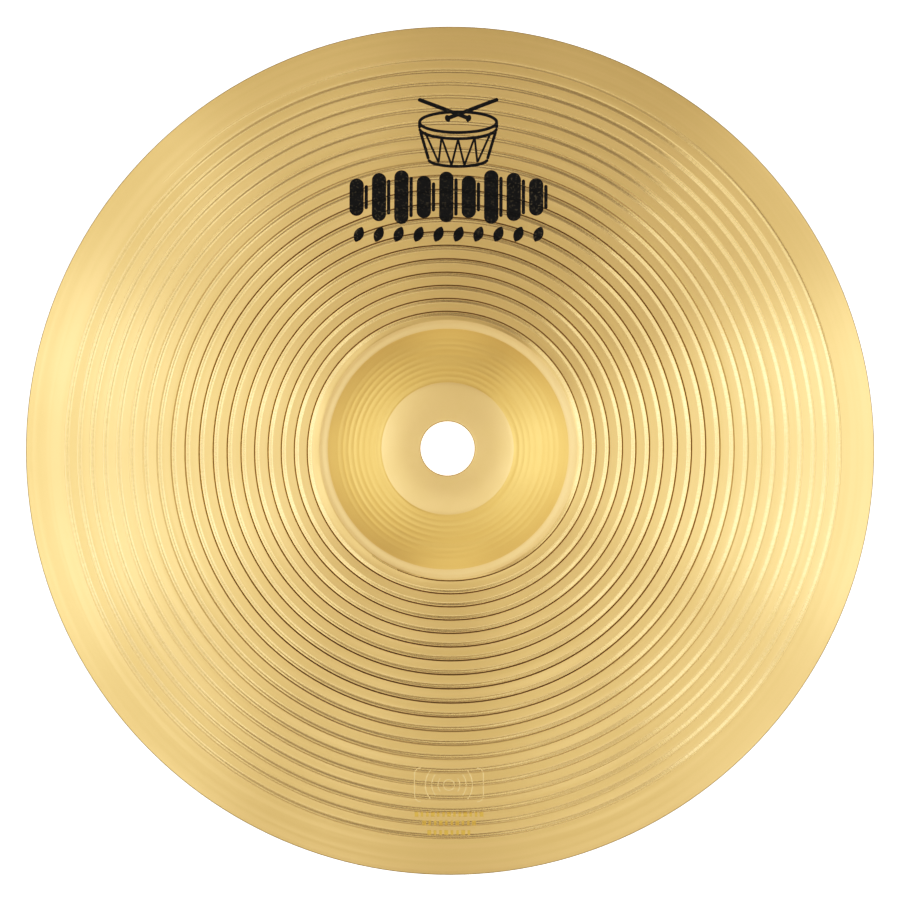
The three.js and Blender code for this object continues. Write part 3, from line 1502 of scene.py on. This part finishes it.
@dataclass
class Studio:
    """Floor, soft light and camera around the plate."""

    rim_radius: float
    crown_height: float
    softboxes: tuple[Softbox, ...]
    world_level: float = 0.15
    tone_power: float = 1.3
    tone_knee: float = 0.7
    floor_colour: Colour = (0.92, 0.92, 0.92)
    floor_glow: float = 0.9
    floor_half: float = 3.0
    floor_drop: float = 0.05 * MM
    camera_distance: float = 1.2
    camera_tilt: float = math.radians(1.64)
    camera_azimuth: float = math.radians(-43.2)
    rim_share: float = 0.9427
    rim_offset: Point = (0.156 * MM, 0.029 * MM)

    def floor(self) -> None:
        """Lay a plain pale floor in the rim plane."""
        material, _, shader, _ = new_material("pale_floor")
        shader.inputs["Base Color"].default_value = (*self.floor_colour, 1.0)
        shader.inputs["Roughness"].default_value = 0.9
        shader.inputs["Specular IOR Level"].default_value = 0.1
        shader.inputs["Emission Color"].default_value = (1.0, 1.0, 1.0, 1.0)
        shader.inputs["Emission Strength"].default_value = self.floor_glow
        half = self.floor_half
        corners = np.array([[-half, -half], [half, -half], [half, half], [-half, half]])
        points = np.column_stack([corners, np.full(4, -self.floor_drop)])
        mesh = closed_mesh("floor", points, np.array([[0, 1, 2, 3]]), np.zeros(1))
        mesh.materials.append(material)
        piece = bpy.data.objects.new("floor", mesh)
        bpy.context.scene.collection.objects.link(piece)

    def world(self) -> None:
        """Fill the room with even dim light, in front of a backdrop as pale as the floor."""
        world = bpy.data.worlds.new("studio")
        world.use_nodes = True
        wires = Wiring(world.node_tree)
        backdrop = wires.node("ShaderNodeLightPath").outputs["Is Camera Ray"]
        sky = world.node_tree.nodes["Background"]
        sky.inputs["Color"].default_value = (1.0, 1.0, 1.0, 1.0)
        world.node_tree.links.new(wires.math("MAXIMUM", backdrop, self.world_level), sky.inputs["Strength"])
        bpy.context.scene.world = world

    def tone(self) -> None:
        """Set the tone curve: level to a power, over itself plus a knee, with black and white kept."""
        view = bpy.context.scene.view_settings
        view.view_transform = "Standard"
        view.use_curve_mapping = True
        level = np.linspace(0.0, 1.0, 12)[1:-1]
        raised = level**self.tone_power
        toned = raised * (1.0 + self.tone_knee) / (raised + self.tone_knee)
        curve = view.curve_mapping.curves[3]
        for x, y in zip(level, toned):
            curve.points.new(x, y)
        view.curve_mapping.update()

    def camera(self) -> None:
        """Look straight down, with a slight lean, so that the rim fills its share of the frame."""
        lens = bpy.data.cameras.new("camera")
        lens.sensor_width = 36.0
        lens.lens = self.rim_share * lens.sensor_width / 2 * self.camera_distance / self.rim_radius
        lens.clip_start = 0.01
        camera = bpy.data.objects.new("camera", lens)
        bpy.context.scene.collection.objects.link(camera)
        away = direction(self.camera_azimuth, math.pi / 2 - self.camera_tilt)
        right = Vector((0, 1, 0)).cross(away).normalized()
        above = away.cross(right)
        turn = Matrix((right, above, away)).transposed().to_4x4()
        aim = Vector((*self.rim_offset, 0.0))
        camera.matrix_world = Matrix.Translation(aim + away * self.camera_distance) @ turn
        bpy.context.scene.camera = camera

    def build(self) -> None:
        """Set up the floor, the light and the camera."""
        self.camera()
        self.floor()
        self.world()
        self.tone()
        target = Vector((0.0, 0.0, self.crown_height / 2))
        for softbox in self.softboxes:
            softbox.build(target)
        log.info("studio: %d soft lights", len(self.softboxes))


SOFTBOXES = (
    Softbox("high_right", azimuth=0, elevation=61, power=1.5, size=0.7),
    Softbox("high_back_right", azimuth=45, elevation=66, power=0.38, size=0.7),
    Softbox("high_back", azimuth=90, elevation=66, power=0.5, size=0.7),
    Softbox("high_back_left", azimuth=135, elevation=66, power=0.48, size=0.7),
    Softbox("high_left", azimuth=180, elevation=66, power=1.25, size=0.7),
    Softbox("high_front_left", azimuth=225, elevation=66, power=0.62, size=0.7),
    Softbox("high_front", azimuth=270, elevation=66, power=0.76, size=0.7),
    Softbox("high_front_right", azimuth=315, elevation=66, power=0.9, size=0.7),
    Softbox("left", azimuth=180, elevation=42, power=1.9, size=1.0),
    Softbox("back_left", azimuth=150, elevation=42, power=1.8, size=1.0),
    Softbox("front_left", azimuth=210, elevation=42, power=1.8, size=1.0),
    Softbox("front_left_fill", azimuth=240, elevation=46, power=0.6),
    Softbox("back_left_fill", azimuth=120, elevation=44, power=0.6),
    Softbox("back_right_fill", azimuth=60, elevation=44, power=0.28),
    Softbox("right", azimuth=0, elevation=34, power=2.4, size=1.1),
    Softbox("back_right", azimuth=30, elevation=34, power=2.4, size=1.1),
    Softbox("front_right", azimuth=330, elevation=34, power=2.1, size=1.1),
    Softbox("front_right_fill", azimuth=300, elevation=34, power=1.3, size=1.1),
    Softbox("low_left", azimuth=180, elevation=18, power=0.4),
    Softbox("low_right", azimuth=0, elevation=15, power=1.1, size=1.0),
    Softbox("low_front", azimuth=270, elevation=14, power=1.6, size=1.0),
    Softbox("low_back", azimuth=90, elevation=14, power=1.3, size=1.0),
)


def make_plate() -> CymbalPlate:
    """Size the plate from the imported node.

    Returns:
        The plate, with its groove between the bell's foot and the plain band at the rim.
    """
    low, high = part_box(PLATE_NODE)
    section = PlateSection(rim_radius=(high.x - low.x) / 2, crown_height=high.z)
    groove = TonalGroove(section.bell_foot + GROOVE_LEAD, section.rim_radius - PLAIN_BAND)
    return CymbalPlate(section, groove)


def main() -> None:
    """Build the plate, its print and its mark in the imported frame, and the studio around them."""
    logging.basicConfig(level=logging.INFO, format="%(name)s: %(message)s")
    plate = make_plate()
    plate.build()
    PrintedEmblem(plate).build()
    EtchedMark(plate).build()
    Studio(plate.section.rim_radius, plate.section.crown_height, SOFTBOXES).build()


if __name__ == "__main__":
    main()
